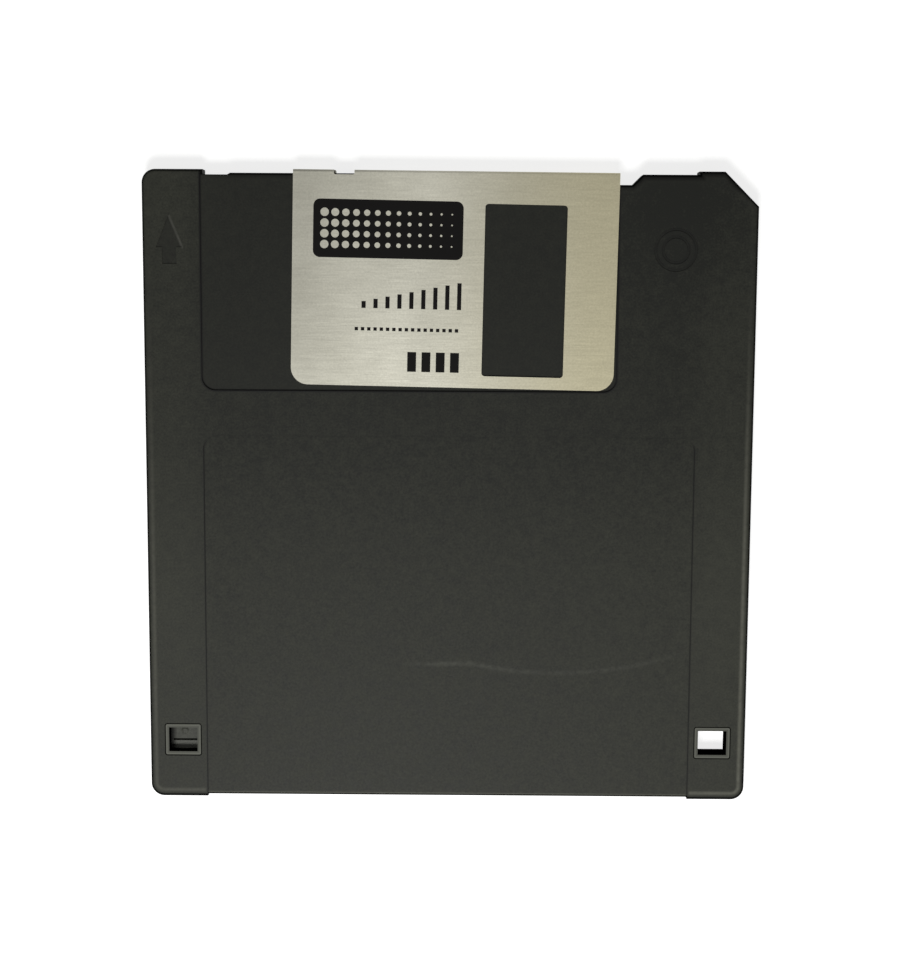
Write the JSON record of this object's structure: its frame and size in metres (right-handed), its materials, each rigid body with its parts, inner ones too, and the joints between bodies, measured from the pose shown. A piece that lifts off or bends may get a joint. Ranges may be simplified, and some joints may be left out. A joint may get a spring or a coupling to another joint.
{
  "type": "floppy disk",
  "caption": "Flat square data disk in a black moulded case, with a sprung steel shutter over the head window, a steel hub behind and a sliding write-protect tab.",
  "frame": {"origin": "centre of the case's rear face, on which the disk lies", "axes": "+Y towards the shutter edge, +X to the right seen from the label side, +Z out of the label side"},
  "size_m": [0.09, 0.0941, 0.0033],
  "materials": {
    "case_black_abs": "moulded, fine spark texture",
    "slider_abs": "moulded, plain",
    "shutter_steel": "brushed along the sliding direction, part printed black",
    "hub_steel": "pressed, zinc plated",
    "spring_steel": "drawn wire",
    "magnetic_film": "oxide-coated polyester film",
    "adhesive": "clear adhesive film",
    "liner_fabric": "pressed non-woven fibres",
    "lifter_film": "bent polyester leaf",
    "wear_plastic": "slippery plastic sheet"
  },
  "bodies": {
    "case": {"front_shell": "case_black_abs", "rear_shell": "case_black_abs", "front_liner": "liner_fabric", "rear_liner": "liner_fabric", "lifter": "lifter_film", "wear_plate": "wear_plastic", "shutter_spring": "spring_steel"},
    "shutter": {"shutter": "shutter_steel"},
    "disk": {"magnetic_disk": "magnetic_film", "hub_adhesive_ring": "adhesive", "hub": "hub_steel"},
    "slider": {"write_protect_slider": "slider_abs"}
  },
  "joints": [
    {"name": "shutter_slide", "type": "slide", "parent": "case", "child": "shutter", "axis": [-1, 0, 0], "range_m": [0, 0.012], "stiffness_N_per_m": 50, "springref_m": -0.006, "deforming": ["shutter_spring"]},
    {"name": "disk_spin", "type": "hinge", "parent": "case", "child": "disk", "pos_m": [0, -0.0016, 0], "axis": [0, 0, 1], "continuous": true},
    {"name": "write_protect_slide", "type": "slide", "parent": "case", "child": "slider", "axis": [0, -1, 0], "range_m": [0, 0.0043]}
  ]
}
